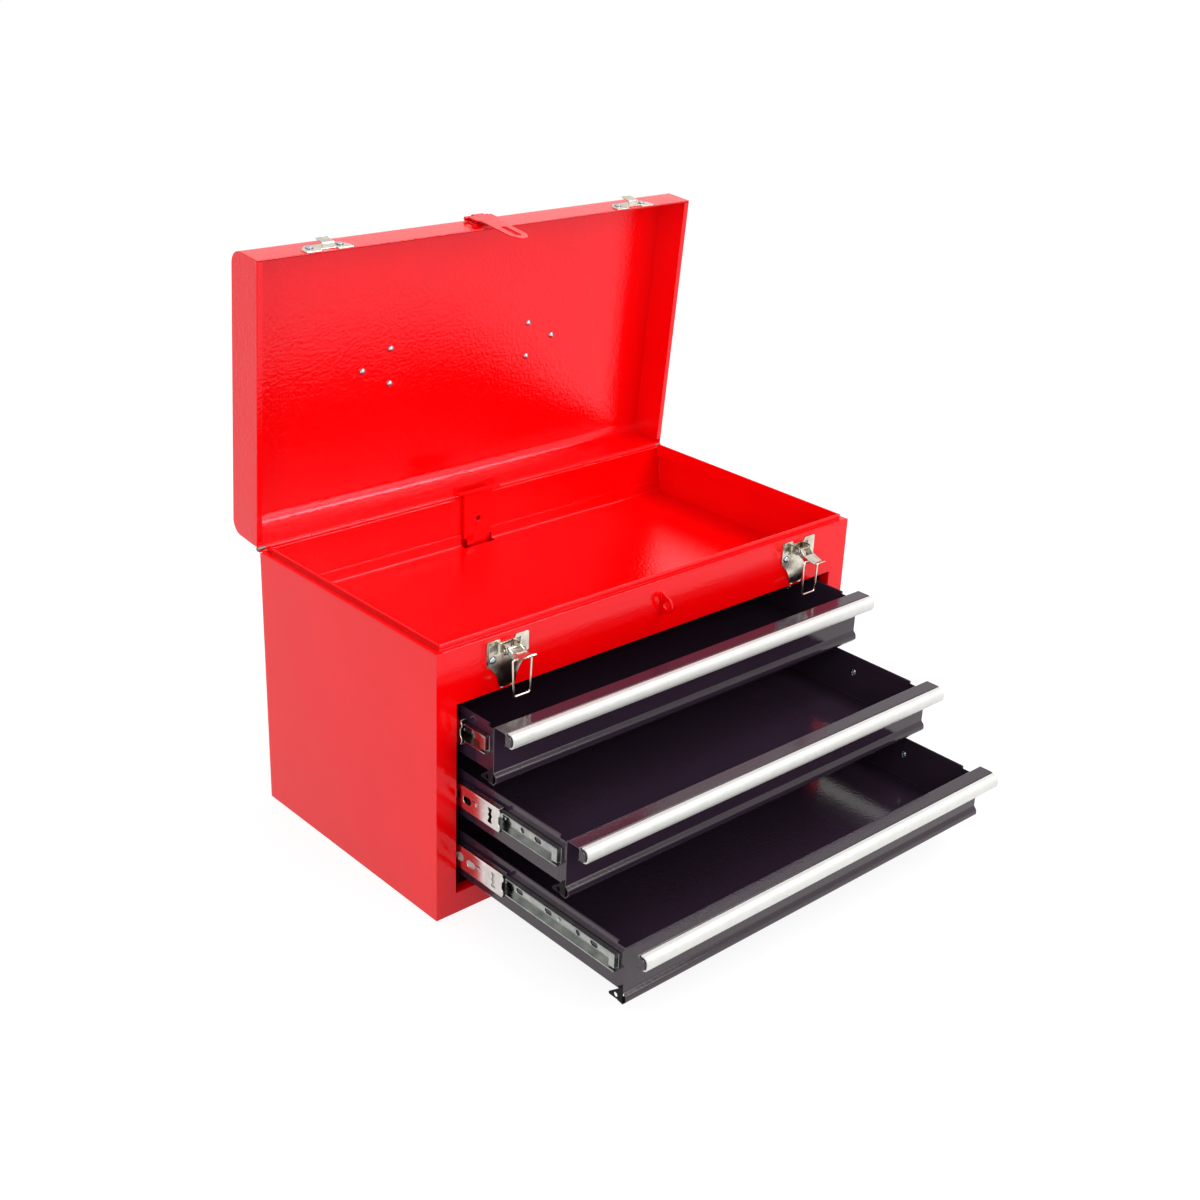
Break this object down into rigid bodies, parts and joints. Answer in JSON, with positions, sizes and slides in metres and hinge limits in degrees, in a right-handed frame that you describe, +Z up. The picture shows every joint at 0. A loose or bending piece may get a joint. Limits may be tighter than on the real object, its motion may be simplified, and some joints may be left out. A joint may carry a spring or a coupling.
{
  "type": "portable tool chest with drawers",
  "caption": "Portable red steel tool chest with a lidded top tray, black drawers on ball bearing slides, draw latches, hasp and folding handle",
  "frame": {"origin": "centre of the flat underside", "axes": "+X to the right as seen from the front, -Y out of the drawer fronts, +Z up"},
  "size_m": [0.522, 0.5668, 0.5526],
  "materials": {
    "red_paint": "gloss",
    "black_paint": "gloss",
    "strip_aluminium": "satin",
    "nickel_plate": "bright",
    "zinc_plate": "satin",
    "rivet_zinc": "bright",
    "black_vinyl": "matte"
  },
  "bodies": {
    "case": {"case_wrap": "red_paint", "bottom_pan": "red_paint", "front_frame": "red_paint", "tray_floor": "red_paint", "slide_posts": "red_paint", "hinge_leaf_case": "red_paint", "hinge_pin": "rivet_zinc", "padlock_staple": "red_paint", "latch_base_left": "nickel_plate", "latch_base_right": "nickel_plate", "latch_pins": "nickel_plate", "case_rivets": "rivet_zinc", "case_slides_1": "zinc_plate", "case_slides_2": "zinc_plate", "case_slides_3": "zinc_plate", "slide_rivets": "rivet_zinc"},
    "lock": {"lock_plate": "red_paint"},
    "lid": {"lid_shell": "red_paint", "lid_end_left": "red_paint", "lid_end_right": "red_paint", "hinge_leaf_lid": "red_paint", "catch_left": "nickel_plate", "catch_right": "nickel_plate", "lid_front_rivets": "rivet_zinc", "handle_bracket_left": "nickel_plate", "handle_bracket_right": "nickel_plate", "handle_rivets": "rivet_zinc", "hasp_leaf": "red_paint", "hasp_pin": "red_paint"},
    "hasp": {"hasp_tongue": "red_paint"},
    "handle": {"handle_rod_bent": "nickel_plate", "handle_grip": "black_vinyl"},
    "latch_lever_left": {"lever_left": "nickel_plate"},
    "latch_lever_right": {"lever_right": "nickel_plate"},
    "latch_bail_left": {"bail_left": "nickel_plate"},
    "latch_bail_right": {"bail_right": "nickel_plate"},
    "drawer_1": {"drawer_pan_1": "black_paint", "drawer_front_1": "black_paint", "pull_strip_1": "strip_aluminium", "drawer_slides_1": "zinc_plate", "drawer_screws_1": "rivet_zinc"},
    "middle_1": {"middle_slides_1": "zinc_plate"},
    "outer_cage_1": {"outer_cages_1": "zinc_plate"},
    "inner_cage_1": {"inner_cages_1": "zinc_plate"},
    "drawer_2": {"drawer_pan_2": "black_paint", "drawer_front_2": "black_paint", "pull_strip_2": "strip_aluminium", "drawer_slides_2": "zinc_plate", "drawer_screws_2": "rivet_zinc"},
    "middle_2": {"middle_slides_2": "zinc_plate"},
    "outer_cage_2": {"outer_cages_2": "zinc_plate"},
    "inner_cage_2": {"inner_cages_2": "zinc_plate"},
    "drawer_3": {"drawer_pan_3": "black_paint", "drawer_front_3": "black_paint", "pull_strip_3": "strip_aluminium", "drawer_slides_3": "zinc_plate", "drawer_screws_3": "rivet_zinc"},
    "middle_3": {"middle_slides_3": "zinc_plate"},
    "outer_cage_3": {"outer_cages_3": "zinc_plate"},
    "inner_cage_3": {"inner_cages_3": "zinc_plate"}
  },
  "joints": [
    {"name": "lid_hinge", "type": "hinge", "parent": "case", "child": "lid", "pos_m": [0, 0.14045, 0.265], "axis": [-1, 0, 0], "range_deg": [-85.2, 0]},
    {"name": "lock_slide", "type": "slide", "parent": "case", "child": "lock", "axis": [0, 0, 1], "range_m": [-0.0055, 0]},
    {"name": "hasp_hinge", "type": "hinge", "parent": "lid", "child": "hasp", "pos_m": [0, 0.14593, 0.54634], "axis": [-1, 0, 0], "range_deg": [0, 145]},
    {"name": "handle_hinge", "type": "hinge", "parent": "lid", "child": "handle", "pos_m": [0, 0.18118, 0.40736], "axis": [1, 0, 0], "range_deg": [0, 184]},
    {"name": "lever_left_hinge", "type": "hinge", "parent": "case", "child": "latch_lever_left", "pos_m": [-0.185, -0.145, 0.251], "axis": [-1, 0, 0], "range_deg": [-90, 0]},
    {"name": "bail_left_hinge", "type": "hinge", "parent": "latch_lever_left", "child": "latch_bail_left", "pos_m": [-0.185, -0.159, 0.2475], "axis": [-1, 0, 0], "range_deg": [0, 270.82]},
    {"name": "lever_right_hinge", "type": "hinge", "parent": "case", "child": "latch_lever_right", "pos_m": [0.185, -0.145, 0.251], "axis": [-1, 0, 0], "range_deg": [-71, 0]},
    {"name": "bail_right_hinge", "type": "hinge", "parent": "latch_lever_right", "child": "latch_bail_right", "pos_m": [0.185, -0.1571, 0.24313], "axis": [-1, 0, 0], "range_deg": [0, 251.82]},
    {"name": "drawer_1_slide", "type": "slide", "parent": "case", "child": "drawer_1", "axis": [0, -1, 0], "range_m": [-0.044, 0.196]},
    {"name": "middle_1_slide", "type": "slide", "parent": "case", "child": "middle_1", "axis": [0, -1, 0], "range_m": [-0.022, 0.098]},
    {"name": "outer_cage_1_slide", "type": "slide", "parent": "case", "child": "outer_cage_1", "axis": [0, -1, 0], "range_m": [-0.011, 0.049]},
    {"name": "inner_cage_1_slide", "type": "slide", "parent": "case", "child": "inner_cage_1", "axis": [0, -1, 0], "range_m": [-0.033, 0.147]},
    {"name": "drawer_2_slide", "type": "slide", "parent": "case", "child": "drawer_2", "axis": [0, -1, 0], "range_m": [-0.14, 0.1]},
    {"name": "middle_2_slide", "type": "slide", "parent": "case", "child": "middle_2", "axis": [0, -1, 0], "range_m": [-0.07, 0.05]},
    {"name": "outer_cage_2_slide", "type": "slide", "parent": "case", "child": "outer_cage_2", "axis": [0, -1, 0], "range_m": [-0.035, 0.025]},
    {"name": "inner_cage_2_slide", "type": "slide", "parent": "case", "child": "inner_cage_2", "axis": [0, -1, 0], "range_m": [-0.105, 0.075]},
    {"name": "drawer_3_slide", "type": "slide", "parent": "case", "child": "drawer_3", "axis": [0, -1, 0], "range_m": [-0.214, 0.026]},
    {"name": "middle_3_slide", "type": "slide", "parent": "case", "child": "middle_3", "axis": [0, -1, 0], "range_m": [-0.107, 0.013]},
    {"name": "outer_cage_3_slide", "type": "slide", "parent": "case", "child": "outer_cage_3", "axis": [0, -1, 0], "range_m": [-0.0535, 0.0065]},
    {"name": "inner_cage_3_slide", "type": "slide", "parent": "case", "child": "inner_cage_3", "axis": [0, -1, 0], "range_m": [-0.1605, 0.0195]}
  ],
  "couplings": [
    {"joint": "lock_slide", "follows": "lid_hinge", "m_per_rad": 0.0036987},
    {"joint": "bail_left_hinge", "follows": "lever_left_hinge", "ratio": -3.0091},
    {"joint": "bail_right_hinge", "follows": "lever_right_hinge", "ratio": -3.5467},
    {"joint": "middle_1_slide", "follows": "drawer_1_slide", "ratio": 0.5},
    {"joint": "outer_cage_1_slide", "follows": "drawer_1_slide", "ratio": 0.25},
    {"joint": "inner_cage_1_slide", "follows": "drawer_1_slide", "ratio": 0.75},
    {"joint": "middle_2_slide", "follows": "drawer_2_slide", "ratio": 0.5},
    {"joint": "outer_cage_2_slide", "follows": "drawer_2_slide", "ratio": 0.25},
    {"joint": "inner_cage_2_slide", "follows": "drawer_2_slide", "ratio": 0.75},
    {"joint": "middle_3_slide", "follows": "drawer_3_slide", "ratio": 0.5},
    {"joint": "outer_cage_3_slide", "follows": "drawer_3_slide", "ratio": 0.25},
    {"joint": "inner_cage_3_slide", "follows": "drawer_3_slide", "ratio": 0.75}
  ]
}
